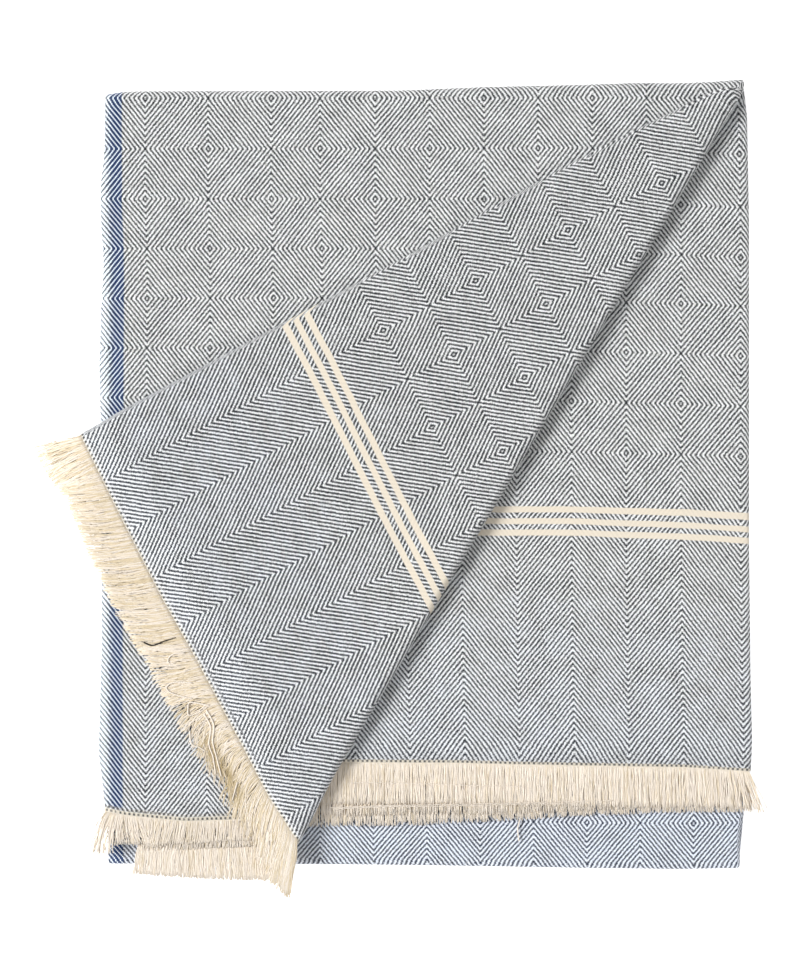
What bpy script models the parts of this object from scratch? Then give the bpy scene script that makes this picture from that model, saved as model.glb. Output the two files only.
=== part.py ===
"""Folded khes blanket: one woven cotton sheet, folded in three across its width and in four along
its length, with the top corner turned back across the stack. Units: metres, +Z up, +Y away from
the hems. The stack lies flat on the XY plane with its lowest layer touching z = 0."""
import math

import bmesh
import bpy
import numpy as np
from mathutils import Vector

MM = 0.001

# Cloth and stack sizes, in millimetres
CLOTH_THICKNESS = 1.2
PLY_PITCH = 1.8            # middle of one ply to middle of the next
PLY_COUNT = 3
PANEL_PITCH = PLY_PITCH * PLY_COUNT
HALF_WIDTH = 254.0         # left selvedge and right fold, from the middle
LEFT_FOLD_X = -250.0       # start of the turn that joins the lower and the hidden ply
HIDDEN_SELVEDGE_X = 248.0
RIGHT_TURN_X = HALF_WIDTH - PLY_PITCH
NORTH_TURN_Y = 294.5       # where every lengthwise turn of the far side starts
SOUTH_TURN_Y = -301.0      # where the near lengthwise turn starts
CLOTH_HALF = CLOTH_THICKNESS / 2.0

# Heights of the middle ply of each panel, lowest first
BACK_MIDDLE_Z = PLY_PITCH + CLOTH_HALF
FRONT_MIDDLE_Z = BACK_MIDDLE_Z + PANEL_PITCH
FRONT_END_Z = FRONT_MIDDLE_Z + PANEL_PITCH
BACK_END_Z = FRONT_END_Z + PANEL_PITCH
STACK_TOP_Z = BACK_END_Z + PLY_PITCH + CLOTH_HALF
TOP_PANEL_FLOOR_Z = BACK_END_Z - PANEL_PITCH / 2.0

# Turned-back corner: the rolled fold runs from the far right corner to the near hem
ROLL_SILHOUETTE_X = 246.2
ROLL_SILHOUETTE_Y = 298.3
ROLL_SLOPE = 0.598         # sideways run of the fold for one unit along the stack
ROLL_INNER_GAP = 1.2       # clear height from the top ply to the axis of the roll
ROLL_STEPS = 8
ROLL_SETTLE = 1.5          # the turned corner sinks by this much behind the roll
ROLL_SETTLE_RUN = 45.0
ROLL_AXIS_Z = STACK_TOP_Z + ROLL_INNER_GAP
ROLL_RADIUS = ROLL_AXIS_Z - (BACK_END_Z - PLY_PITCH)
ROLL_OUTER_RADIUS = ROLL_RADIUS + CLOTH_HALF
ROLL_LENGTH = math.hypot(ROLL_SLOPE, 1.0)
ROLL_NORMAL_X = 1.0 / ROLL_LENGTH
ROLL_NORMAL_Y = -ROLL_SLOPE / ROLL_LENGTH
ROLL_START_X = ROLL_SILHOUETTE_X - ROLL_OUTER_RADIUS * ROLL_NORMAL_X
ROLL_START_Y = ROLL_SILHOUETTE_Y - ROLL_OUTER_RADIUS * ROLL_NORMAL_Y
ROLL_ARC = math.pi * ROLL_RADIUS

# Gentle unevenness of the whole stack and the hang of what reaches past its sides
WAVE_HEIGHT = 0.5
WAVE_LENGTH_X = 430.0
WAVE_LENGTH_Y = 520.0
HANG_LEFT_X = -257.0
HANG_NEAR_Y = -306.0
HANG_CURVE = 60.0          # a reach of d past the side hangs by d * d / (2 * HANG_CURVE)

# Middle of the whole outline with its fringes, seen from the middle of the stack
OUTLINE_MIDDLE_X = -21.5
OUTLINE_MIDDLE_Y = -3.1

# Columns of the sheet for each ply: distance from the middle of the stack
TOP_PLY_COLUMNS = (-254.0, -237.0, -190.0, -133.0, -80.0, -20.0, 46.0, 120.0, 200.0, 232.0, RIGHT_TURN_X)
LOWER_PLY_COLUMNS = (RIGHT_TURN_X, 200.0, 120.0, 46.0, -20.0, -80.0, -133.0, LEFT_FOLD_X)
HIDDEN_PLY_COLUMNS = (LEFT_FOLD_X, -133.0, -20.0, 46.0, 120.0, 200.0, HIDDEN_SELVEDGE_X)
RIGHT_TURN_STEPS = 5
LEFT_TURN_STEPS = 4

# Rows of the sheet for each panel, far to near or near to far as the cloth runs
BACK_END_ROWS = (-232.0, -200.0, -130.0, -60.0, 10.0, 88.0, 136.0, 168.0, 200.0, 230.0, 255.0, 272.0, 285.0)
BACK_MIDDLE_ROWS = (200.0, 0.0, -200.0)
FRONT_MIDDLE_ROWS = (-262.0, -200.0, 0.0, 200.0)
FRONT_END_ROWS = (275.0, 200.0, 88.0, 0.0, -100.0, -160.0, -200.0)
OUTER_TURN_STEPS = 8
INNER_TURN_STEPS = 6

# How far the far and near edges lie from a straight line: x, far shift, near shift
EDGE_SHIFTS = (
    (-254.0, -3.0, 2.5),
    (-237.0, -0.5, 2.5),
    (-133.0, 0.0, 2.5),
    (-20.0, 0.3, 1.5),
    (46.0, 3.0, 0.5),
    (120.0, 4.4, -0.8),
    (200.0, 4.4, -1.8),
    (254.0, 4.4, -1.0),
)
EDGE_SHIFT_ZONE = 200.0    # the shifts fade in between this distance from the middle and the turn

# Left selvedge: y, shift to the right
LEFT_SHIFTS = (
    (-303.0, 5.0),
    (-258.0, 3.6),
    (-214.0, -1.6),
    (-130.0, 0.8),
    (-60.0, 0.8),
    (44.0, -0.2),
    (88.0, -1.2),
    (136.0, 0.4),
    (168.0, 2.3),
    (200.0, 0.2),
    (230.0, -0.2),
    (255.0, 2.8),
    (290.0, 3.4),
)

# Right fold of the three lower panels: y, shift to the right
RIGHT_SHIFTS = (
    (-300.0, -6.5),
    (-280.0, -7.0),
    (-258.0, -4.0),
    (-222.0, 2.8),
    (-154.0, 1.2),
    (-48.0, 0.0),
    (200.0, 0.0),
    (278.0, -1.5),
    (300.0, -4.5),
)

# Right fold of the top panel before its corner is turned back: y, shift to the right
TOP_RIGHT_SHIFTS = (
    (-290.0, 7.5),
    (-240.0, 9.0),
    (0.0, 9.5),
    (130.0, 12.0),
    (200.0, 10.0),
    (230.0, 9.0),
    (255.0, 8.5),
    (272.0, 6.5),
    (285.0, 1.0),
    (NORTH_TURN_Y, -18.5),
)

# Hems of the top panel, one table for each ply: x, y
TOP_PANEL_HEMS = {
    "top": (
        (-254.0, -260.5),
        (-237.0, -264.0),
        (-190.0, -268.5),
        (-133.0, -266.5),
        (-80.0, -269.0),
        (-20.0, -273.0),
        (120.0, -278.0),
        (200.0, -281.0),
        (254.0, -282.5),
    ),
    "lower": (
        (-254.0, -287.0),
        (-133.0, -286.5),
        (-80.0, -282.0),
        (-20.0, -282.5),
        (120.0, -284.5),
        (200.0, -283.0),
        (254.0, -282.5),
    ),
    "hidden": (
        (-254.0, -281.0),
        (-20.0, -279.0),
        (254.0, -280.0),
    ),
}

# Hems of the second panel, one table for each ply: x, y
SECOND_PANEL_HEMS = {
    "top": (
        (-254.0, -212.0),
        (-20.0, -213.0),
        (120.0, -218.0),
        (254.0, -229.0),
    ),
    "lower": (
        (-254.0, -218.5),
        (-20.0, -219.9),
        (120.0, -223.5),
        (254.0, -229.0),
    ),
    "hidden": (
        (-254.0, -214.0),
        (-20.0, -215.0),
        (254.0, -223.0),
    ),
}

# Fringe sizes
FRINGE_GAP = 0.3           # clear slot between hem and backing strip
FRINGE_BACKING = 1.6
FRINGE_THICKNESS = 0.9
FRINGE_LOCK_SHARE = 0.62   # part of each step taken by the lock, the rest is open
FRINGE_TIP_SHARE = 0.72    # width of a lock's tip against its root
FRINGE_RINGS = (0.5, 1.0)  # where along its reach a lock has a cross-section
SWAY_WAVES = ((0.7, 0.9, 0.4), (0.3, 2.3, 1.7))      # share, turn for each lock, start
REACH_BASE = 0.93
REACH_WAVES = ((0.05, 1.7, 0.6), (0.02, 4.1, 0.0))

# Fringes: name, panel end, ply, first x, last x, locks, reach, sway of the tips
FRINGES = (
    ("fringe_front_upper", "front", "lower", 250.0, -248.0, 52, 41.0, 2.2),
    ("fringe_front_middle", "front", "hidden", -246.0, 244.0, 24, 36.0, 1.6),
    ("fringe_front_lowest", "front", "top", -250.0, 248.0, 24, 38.0, 1.6),
    ("fringe_left_upper", "back", "top", -250.0, -122.0, 16, 26.0, 2.0),
    ("fringe_left_middle", "back", "hidden", -246.0, -122.0, 10, 24.0, 1.2),
    ("fringe_left_lower", "back", "lower", -120.0, -248.0, 16, 27.0, 2.0),
    ("fringe_corner_upper", "back", "lower", 250.0, -82.0, 36, 37.0, 2.4),
    ("fringe_corner_middle", "back", "hidden", -80.0, 244.0, 22, 32.0, 1.6),
    ("fringe_corner_lowest", "back", "top", -78.0, 248.0, 26, 34.0, 1.8),
)

# Colours: name start, red, green, blue, roughness
MATERIAL_ROWS = (
    ("cloth", 0.45, 0.455, 0.46, 0.9),
    ("fringe", 0.82, 0.73, 0.58, 0.92),
)


def clear_scene():
    for item in list(bpy.data.objects):
        bpy.data.objects.remove(item, do_unlink=True)


def table_value(rows, key, column):
    keys = [row[0] for row in rows]
    values = [row[column] for row in rows]
    return float(np.interp(key, keys, values))


def smooth_share(value):
    limited = min(max(value, 0.0), 1.0)
    return limited * limited * (3.0 - 2.0 * limited)


def edge_fade(y):
    """Share of the far (+) or near (-) edge shift that a row takes."""
    if y >= 0.0:
        return min(max((y - EDGE_SHIFT_ZONE) / (NORTH_TURN_Y - EDGE_SHIFT_ZONE), 0.0), 1.0)
    return -min(max((-y - EDGE_SHIFT_ZONE) / (-SOUTH_TURN_Y - EDGE_SHIFT_ZONE), 0.0), 1.0)


def side_fade(x):
    """Share of the right (+) or left (-) side shift that a column takes."""
    if x >= 0.0:
        return (x / HALF_WIDTH) ** 2
    return -((x / HALF_WIDTH) ** 2)


def plan_point(x, y, top_share):
    """Plan position of a flat point; top_share is 1 on the top panel and 0 on the other three."""
    fade = edge_fade(y)
    if fade > 0.0:
        new_y = y + fade * table_value(EDGE_SHIFTS, x, 1)
    else:
        new_y = y - fade * (1.0 - top_share) * table_value(EDGE_SHIFTS, x, 2)
    side = side_fade(x)
    if side > 0.0:
        lower = table_value(RIGHT_SHIFTS, y, 1)
        upper = table_value(TOP_RIGHT_SHIFTS, y, 1)
        new_x = x + side * (lower + (upper - lower) * top_share)
    else:
        new_x = x - side * table_value(LEFT_SHIFTS, y, 1)
    return new_x, new_y


def roll_distance(x, y):
    """Distance past the line where the roll starts, positive on the side that is turned back."""
    return (x - ROLL_START_X) * ROLL_NORMAL_X + (y - ROLL_START_Y) * ROLL_NORMAL_Y


def turn_corner(x, y, z):
    """Roll a point of the top panel back across the stack."""
    past = roll_distance(x, y)
    if past <= 0.0:
        return x, y, z
    radius = ROLL_AXIS_Z - z
    if past < ROLL_ARC:
        angle = past / ROLL_RADIUS
        across = radius * math.sin(angle)
        height = ROLL_AXIS_Z - radius * math.cos(angle)
    else:
        across = ROLL_ARC - past
        sink = ROLL_SETTLE * smooth_share((past - ROLL_ARC) / ROLL_SETTLE_RUN)
        height = ROLL_AXIS_Z + radius - sink
    shift = across - past
    return x + shift * ROLL_NORMAL_X, y + shift * ROLL_NORMAL_Y, height


def wave_height(x, y):
    first = math.cos(2.0 * math.pi * (x + 60.0) / WAVE_LENGTH_X)
    second = math.cos(2.0 * math.pi * (y - 80.0) / WAVE_LENGTH_Y)
    return WAVE_HEIGHT * first * second


def hang_depth(x, y):
    left = max(HANG_LEFT_X - x, 0.0)
    near = max(HANG_NEAR_Y - y, 0.0)
    return (left * left + near * near) / (2.0 * HANG_CURVE)


def rest_point(x, y, z, on_top):
    """Final place of a flat point, in metres."""
    if on_top:
        x, y, z = turn_corner(x, y, z)
        z -= hang_depth(x, y)
    z *= 1.0 + wave_height(x, y) / STACK_TOP_Z
    return Vector(((x - OUTLINE_MIDDLE_X) * MM, (y - OUTLINE_MIDDLE_Y) * MM, z * MM))


def ply_profile():
    """Points of the sheet across its width: x, offset of the ply, normal x, normal offset, ply."""
    points = [(x, PLY_PITCH, 0.0, 1.0, "top") for x in TOP_PLY_COLUMNS]
    for step in range(1, RIGHT_TURN_STEPS):
        angle = math.pi * step / RIGHT_TURN_STEPS
        side, rise = math.sin(angle), math.cos(angle)
        points.append((RIGHT_TURN_X + PLY_PITCH * side, PLY_PITCH * rise, side, rise, "right"))
    points += [(x, -PLY_PITCH, 0.0, -1.0, "lower") for x in LOWER_PLY_COLUMNS]
    small = PLY_PITCH / 2.0
    for step in range(1, LEFT_TURN_STEPS):
        angle = math.pi * step / LEFT_TURN_STEPS
        side, rise = -math.sin(angle), -math.cos(angle)
        points.append((LEFT_FOLD_X + small * side, -small + small * rise, side, rise, "left"))
    points += [(x, 0.0, 0.0, 1.0, "hidden") for x in HIDDEN_PLY_COLUMNS]
    return points


def hem_height(hems, x, ply, offset):
    """Hem of a column; inside the two turns it runs evenly from one ply's hem to the next."""
    if ply in hems:
        return table_value(hems[ply], x, 1)
    if ply == "right":
        share = (PLY_PITCH - offset) / (2.0 * PLY_PITCH)
        first, last = "top", "lower"
    else:
        share = (PLY_PITCH + offset) / PLY_PITCH
        first, last = "lower", "hidden"
    start = table_value(hems[first], x, 1)
    return start + (table_value(hems[last], x, 1) - start) * share


def turn_rows(center, radius, side, angles, steps, shares):
    """Rows round a lengthwise turn: y, z, side direction of the top ply as y and z, top share."""
    rows = []
    for step in range(steps + 1):
        share = step / steps
        angle = angles[0] + (angles[1] - angles[0]) * share
        across, rise = math.cos(angle), math.sin(angle)
        rows.append((center[0] + radius * across, center[1] + radius * rise, across * side,
                     rise * side, shares[0] + (shares[1] - shares[0]) * share))
    return rows


def path_rows():
    """Rows of the sheet between its two hems: y, z, side direction as y and z, top share."""
    quarter = math.pi / 2.0
    outer = (BACK_END_Z - BACK_MIDDLE_Z) / 2.0
    inner = PANEL_PITCH / 2.0
    rows = [(y, BACK_END_Z, 0.0, 1.0, 1.0) for y in BACK_END_ROWS]
    rows += turn_rows((NORTH_TURN_Y, BACK_MIDDLE_Z + outer), outer, 1.0, (quarter, -quarter),
                      OUTER_TURN_STEPS, (1.0, 0.0))
    rows += [(y, BACK_MIDDLE_Z, 0.0, -1.0, 0.0) for y in BACK_MIDDLE_ROWS]
    rows += turn_rows((SOUTH_TURN_Y, BACK_MIDDLE_Z + inner), inner, 1.0, (-quarter, -3.0 * quarter),
                      INNER_TURN_STEPS, (0.0, 0.0))
    rows += [(y, FRONT_MIDDLE_Z, 0.0, 1.0, 0.0) for y in FRONT_MIDDLE_ROWS]
    rows += turn_rows((NORTH_TURN_Y, FRONT_MIDDLE_Z + inner), inner, -1.0, (-quarter, quarter),
                      INNER_TURN_STEPS, (0.0, 0.0))
    rows += [(y, FRONT_END_Z, 0.0, -1.0, 0.0) for y in FRONT_END_ROWS]
    return rows


def hem_point(is_back, x, offset, ply, place_x, place_offset):
    """Flat point on the hem of the top panel or of the second one."""
    if is_back:
        y = hem_height(TOP_PANEL_HEMS, x, ply, offset)
        new_x, new_y = plan_point(place_x, y, 1.0)
        return new_x, new_y, BACK_END_Z + place_offset
    y = hem_height(SECOND_PANEL_HEMS, x, ply, offset)
    new_x = plan_point(place_x, y, 0.0)[0]
    return new_x, y, FRONT_END_Z - place_offset


def path_point(row, place_x, place_offset):
    """Flat point on a row between the hems."""
    row_y, row_z, side_y, side_z, top_share = row
    new_x, new_y = plan_point(place_x, row_y, top_share)
    return new_x, new_y + place_offset * side_y, row_z + place_offset * side_z


def sheet_grid():
    """Flat points of both faces of the sheet, one row of columns after another, hem to hem."""
    profile = ply_profile()
    grid = []
    for row in ["back hem"] + path_rows() + ["front hem"]:
        line = []
        for x, offset, normal_x, normal_offset, ply in profile:
            faces = []
            for half in (CLOTH_HALF, -CLOTH_HALF):
                place_x = x + half * normal_x
                place_offset = offset + half * normal_offset
                if isinstance(row, str):
                    faces.append(hem_point(row == "back hem", x, offset, ply, place_x, place_offset))
                else:
                    faces.append(path_point(row, place_x, place_offset))
            line.append(faces)
        grid.append(line)
    return grid


def add_material(target, name):
    for start, red, green, blue, roughness in MATERIAL_ROWS:
        if name.startswith(start):
            material = bpy.data.materials.new(name)
            material.use_nodes = True
            shader = material.node_tree.nodes["Principled BSDF"]
            shader.inputs["Base Color"].default_value = (red, green, blue, 1.0)
            shader.inputs["Roughness"].default_value = roughness
            shader.inputs["Metallic"].default_value = 0.0
            target.data.materials.append(material)


def finish_object(mesh_build, name):
    bmesh.ops.recalc_face_normals(mesh_build, faces=mesh_build.faces[:])
    bmesh.ops.triangulate(mesh_build, faces=mesh_build.faces[:])
    data = bpy.data.meshes.new(name)
    mesh_build.to_mesh(data)
    mesh_build.free()
    body = bpy.data.objects.new(name, data)
    bpy.context.scene.collection.objects.link(body)
    add_material(body, name)


def build_cloth():
    grid = sheet_grid()
    row_count = len(grid)
    column_count = len(grid[0])
    build = bmesh.new()
    points = [[[build.verts.new(place) for place in faces] for faces in line] for line in grid]
    top_rows = len(BACK_END_ROWS) + 1
    top_faces = []
    for row in range(row_count - 1):
        for column in range(column_count - 1):
            for side in (0, 1):
                face = build.faces.new((points[row][column][side], points[row][column + 1][side],
                                        points[row + 1][column + 1][side],
                                        points[row + 1][column][side]))
                if row < top_rows:
                    top_faces.append(face)
    for row in (0, row_count - 1):
        for column in range(column_count - 1):
            face = build.faces.new((points[row][column][0], points[row][column + 1][0],
                                    points[row][column + 1][1], points[row][column][1]))
            if row == 0:
                top_faces.append(face)
    for column in (0, column_count - 1):
        for row in range(row_count - 1):
            face = build.faces.new((points[row][column][0], points[row + 1][column][0],
                                    points[row + 1][column][1], points[row][column][1]))
            if row < top_rows:
                top_faces.append(face)
    cut_top_panel(build, top_faces)
    for point in build.verts:
        x, y, z = point.co
        point.co = rest_point(x, y, z, z > TOP_PANEL_FLOOR_Z)
    finish_object(build, "cloth")


def cut_top_panel(build, faces):
    """Cut the top panel along lines parallel to the roll so that it can bend there."""
    distances = [ROLL_ARC * step / ROLL_STEPS for step in range(ROLL_STEPS + 1)]
    distances.append(ROLL_ARC + ROLL_SETTLE_RUN)
    live = list(faces)
    for distance in distances:
        edges = {edge for face in live for edge in face.edges}
        corners = {corner for face in live for corner in face.verts}
        place = Vector((ROLL_START_X + distance * ROLL_NORMAL_X,
                        ROLL_START_Y + distance * ROLL_NORMAL_Y, 0.0))
        result = bmesh.ops.bisect_plane(
            build, geom=live + list(edges) + list(corners), dist=0.001, plane_co=place,
            plane_no=Vector((ROLL_NORMAL_X, ROLL_NORMAL_Y, 0.0)))
        live = [item for item in result["geom"] if isinstance(item, bmesh.types.BMFace)]


def wave_sum(waves, index):
    return sum(share * math.sin(index * turn + start) for share, turn, start in waves)


def build_fringe(name, end, ply, first_x, last_x, locks, reach, sway):
    """Backing strip along one hem with tapered locks standing out of it."""
    offsets = {"top": PLY_PITCH, "lower": -PLY_PITCH, "hidden": 0.0}
    on_top = end == "back"
    hem_rows = TOP_PANEL_HEMS[ply] if on_top else SECOND_PANEL_HEMS[ply]
    base_z = BACK_END_Z + offsets[ply] if on_top else FRONT_END_Z - offsets[ply]
    half = FRINGE_THICKNESS / 2.0
    step_x = (last_x - first_x) / locks
    stations = []
    for index in range(locks):
        start = first_x + step_x * index
        stations += [start, start + step_x * FRINGE_LOCK_SHARE]
    stations.append(last_x)

    def place(x, past_hem, side, shift):
        hem = table_value(hem_rows, x, 1)
        plan_x, plan_y = plan_point(x, hem, 1.0 if on_top else 0.0)
        if not on_top:
            plan_y = hem
        return rest_point(plan_x + shift, plan_y - past_hem, base_z + side * half, on_top)

    build = bmesh.new()
    strip = []
    for x in stations:
        strip.append([build.verts.new(place(x, past, side, 0.0)) for past, side in (
            (FRINGE_GAP, 1.0), (FRINGE_GAP, -1.0), (FRINGE_GAP + FRINGE_BACKING, -1.0),
            (FRINGE_GAP + FRINGE_BACKING, 1.0))])
    for index in range(len(strip) - 1):
        here, there = strip[index], strip[index + 1]
        is_lock = index % 2 == 0
        for side in (0, 1, 3):
            following = (side + 1) % 4
            build.faces.new((here[side], there[side], there[following], here[following]))
        if not is_lock:
            build.faces.new((here[2], there[2], there[3], here[3]))
            continue
        lock = index // 2
        left, right = stations[index], stations[index + 1]
        length = reach * (REACH_BASE + wave_sum(REACH_WAVES, lock))
        previous = (here[3], here[2], there[2], there[3])
        for reach_share in FRINGE_RINGS:
            shift = sway * wave_sum(SWAY_WAVES, lock) * reach_share * reach_share
            inset = (right - left) * (1.0 - FRINGE_TIP_SHARE) / 2.0 * reach_share
            past = FRINGE_GAP + FRINGE_BACKING + length * reach_share
            ring = (build.verts.new(place(left, past, 1.0, shift + inset)),
                    build.verts.new(place(left, past, -1.0, shift + inset)),
                    build.verts.new(place(right, past, -1.0, shift - inset)),
                    build.verts.new(place(right, past, 1.0, shift - inset)))
            for side in range(4):
                following = (side + 1) % 4
                build.faces.new((previous[side], previous[following], ring[following], ring[side]))
            previous = ring
        build.faces.new(previous)
    build.faces.new(strip[0])
    build.faces.new(strip[-1])
    finish_object(build, name)


clear_scene()
build_cloth()
for row in FRINGES:
    build_fringe(*row)
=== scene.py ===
"""Folded khes blanket, dressed: fine sheet with its diamond twill, loose cream fringes, soft light."""
import math
import random

import bmesh
import bpy
import numpy as np
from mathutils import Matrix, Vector


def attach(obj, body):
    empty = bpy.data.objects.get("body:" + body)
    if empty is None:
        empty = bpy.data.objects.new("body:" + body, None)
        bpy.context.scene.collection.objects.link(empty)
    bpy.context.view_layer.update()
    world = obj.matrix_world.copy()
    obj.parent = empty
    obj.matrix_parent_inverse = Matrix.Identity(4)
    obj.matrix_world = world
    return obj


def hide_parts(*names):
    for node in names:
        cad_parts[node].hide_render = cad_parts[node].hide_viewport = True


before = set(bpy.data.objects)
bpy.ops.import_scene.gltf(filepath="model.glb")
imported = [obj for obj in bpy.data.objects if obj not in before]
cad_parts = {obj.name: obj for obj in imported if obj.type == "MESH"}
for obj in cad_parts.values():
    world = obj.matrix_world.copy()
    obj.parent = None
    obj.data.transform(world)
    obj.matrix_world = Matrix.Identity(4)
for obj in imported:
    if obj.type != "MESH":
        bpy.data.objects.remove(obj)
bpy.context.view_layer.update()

MM = 0.001

# Cloth and stack sizes, in millimetres
CLOTH_THICKNESS = 1.2
PLY_PITCH = 1.8
PLY_COUNT = 3
PANEL_PITCH = PLY_PITCH * PLY_COUNT
HALF_WIDTH = 254.0
LEFT_FOLD_X = -250.0
HIDDEN_SELVEDGE_X = 248.0
RIGHT_TURN_X = HALF_WIDTH - PLY_PITCH
NORTH_TURN_Y = 294.5
SOUTH_TURN_Y = -301.0
CLOTH_HALF = CLOTH_THICKNESS / 2.0

# Heights of the middle ply of each panel, lowest first
BACK_MIDDLE_Z = PLY_PITCH + CLOTH_HALF
FRONT_MIDDLE_Z = BACK_MIDDLE_Z + PANEL_PITCH
FRONT_END_Z = FRONT_MIDDLE_Z + PANEL_PITCH
BACK_END_Z = FRONT_END_Z + PANEL_PITCH
STACK_TOP_Z = BACK_END_Z + PLY_PITCH + CLOTH_HALF
TOP_PANEL_FLOOR_Z = BACK_END_Z - PANEL_PITCH / 2.0

# Turned-back corner
ROLL_SILHOUETTE_X = 246.2
ROLL_SILHOUETTE_Y = 298.3
ROLL_SLOPE = 0.598
ROLL_INNER_GAP = 1.2
ROLL_STEPS = 18
ROLL_SETTLE = 1.5
ROLL_SETTLE_RUN = 45.0
ROLL_SETTLE_STEPS = 6
ROLL_AXIS_Z = STACK_TOP_Z + ROLL_INNER_GAP
ROLL_RADIUS = ROLL_AXIS_Z - (BACK_END_Z - PLY_PITCH)
ROLL_OUTER_RADIUS = ROLL_RADIUS + CLOTH_HALF
ROLL_LENGTH = math.hypot(ROLL_SLOPE, 1.0)
ROLL_NORMAL_X = 1.0 / ROLL_LENGTH
ROLL_NORMAL_Y = -ROLL_SLOPE / ROLL_LENGTH
ROLL_START_X = ROLL_SILHOUETTE_X - ROLL_OUTER_RADIUS * ROLL_NORMAL_X
ROLL_START_Y = ROLL_SILHOUETTE_Y - ROLL_OUTER_RADIUS * ROLL_NORMAL_Y
ROLL_ARC = math.pi * ROLL_RADIUS

# The tip of the turned-back corner lies a little further right
CORNER_PULL = 4.0
CORNER_X = -98.0
CORNER_Y = -282.0
CORNER_REACH = 26.0

# Gentle unevenness of the stack and the hang of what reaches past its sides
WAVE_HEIGHT = 0.5
WAVE_LENGTH_X = 430.0
WAVE_LENGTH_Y = 520.0
HANG_LEFT_X = -257.0
HANG_NEAR_Y = -306.0
HANG_CURVE = 60.0
OUTLINE_MIDDLE_X = -21.5
OUTLINE_MIDDLE_Y = -3.1

# Fine grid of the sheet
COLUMN_STEP = 8.0
ROW_STEP = 9.0
HIDDEN_STEP = 60.0
RIGHT_TURN_STEPS = 10
LEFT_TURN_STEPS = 8
OUTER_TURN_STEPS = 14
INNER_TURN_STEPS = 10
TOP_ROWS_FIRST = -252.0
TOP_ROWS_LAST = 288.0
SECOND_ROWS_LAST = -206.0
NEAR_ROWS_LAST = -190.0

# How far the far and near edges lie from a straight line: x, far shift, near shift
EDGE_SHIFTS = (
    (-254.0, -3.0, 2.5),
    (-237.0, -0.5, 2.5),
    (-133.0, 0.0, 2.5),
    (-20.0, 0.3, 1.5),
    (46.0, 3.0, 0.5),
    (120.0, 4.6, -0.8),
    (168.0, 6.2, -1.4),
    (200.0, 5.9, -1.8),
    (232.0, 7.2, -1.4),
    (254.0, 9.0, -1.0),
)
EDGE_SHIFT_ZONE = 200.0     # the far and near edges bend beyond this distance from the middle

# Left selvedge: y, shift to the right
LEFT_SHIFTS = (
    (-303.0, 5.0),
    (-258.0, 3.6),
    (-214.0, -1.6),
    (-130.0, 0.8),
    (-60.0, 0.8),
    (44.0, -0.2),
    (88.0, -1.2),
    (136.0, 0.4),
    (168.0, 2.3),
    (200.0, 0.2),
    (230.0, -0.2),
    (255.0, 2.8),
    (290.0, 3.4),
)

# Right fold of the three lower panels: y, shift to the right
RIGHT_SHIFTS = (
    (-300.0, -6.5),
    (-280.0, -7.0),
    (-258.0, -4.0),
    (-222.0, 2.8),
    (-154.0, 1.2),
    (-48.0, 0.0),
    (200.0, 0.0),
    (278.0, -1.5),
    (300.0, -4.5),
)

# Right fold of the top panel before its corner is turned back: y, shift to the right
TOP_RIGHT_SHIFTS = (
    (-290.0, 7.5),
    (-240.0, 9.0),
    (0.0, 9.5),
    (130.0, 12.6),
    (200.0, 12.4),
    (230.0, 10.8),
    (255.0, 10.4),
    (272.0, 9.6),
    (285.0, 7.4),
    (NORTH_TURN_Y, -4.0),
)

# Hems of the top panel, one table for each ply: x, y
TOP_PANEL_HEMS = {
    "top": (
        (-254.0, -260.5),
        (-237.0, -264.0),
        (-190.0, -268.5),
        (-133.0, -266.5),
        (-80.0, -269.0),
        (-20.0, -273.0),
        (120.0, -278.0),
        (200.0, -281.0),
        (254.0, -282.5),
    ),
    "lower": (
        (-254.0, -287.0),
        (-133.0, -286.5),
        (-105.0, -287.0),
        (-90.0, -288.0),
        (-60.0, -288.5),
        (-20.0, -287.0),
        (60.0, -286.5),
        (120.0, -287.5),
        (200.0, -285.5),
        (254.0, -283.5),
    ),
    "hidden": (
        (-254.0, -281.0),
        (-20.0, -279.0),
        (254.0, -280.0),
    ),
}

# Hems of the second panel, one table for each ply: x, y
SECOND_PANEL_HEMS = {
    "top": (
        (-254.0, -212.0),
        (-20.0, -213.0),
        (120.0, -218.0),
        (254.0, -229.0),
    ),
    "lower": (
        (-254.0, -221.0),
        (-20.0, -223.2),
        (24.0, -223.4),
        (74.0, -224.6),
        (203.0, -226.8),
        (254.0, -230.1),
    ),
    "hidden": (
        (-254.0, -214.0),
        (-20.0, -215.0),
        (254.0, -223.0),
    ),
}

# Weave counts
PICKS_IN_HALF_DIAMOND = 34
ENDS_IN_HALF_DIAMOND = 46
FIRST_CENTRE_END = 40       # warp end of the first pattern column from the selvedge
WIDE_HALF_ENDS = 54         # the first two half diamonds beside the selvedge are wider
SHORT_HALF_ENDS = 42
LATE_WIDE_END = 580.0       # a warp end inside one more half diamond that is wider
LATE_WIDE_ENDS = 4          # by so many ends
HALF_ROWS_IN_CLOTH = 49     # half diamonds from one striped end to the other
BAND_ENDS = 20              # warp ends in the blue selvedge band
INDEX_SCALE = 0.001         # weave counts are stored in a UV map in thousands

# Where the warp ends lie on each panel: selvedge x and pitch of the top ply,
# then end count and pitch of the lower ply at its right fold
END_FITS = {
    "back": (-254.0, 0.9134, 563.5, 0.918),
    "front_middle": (-255.6, 0.9118, 562.0, 0.918),
    "front_end": (-248.8, 0.92, 551.3, 0.935),
}

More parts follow.
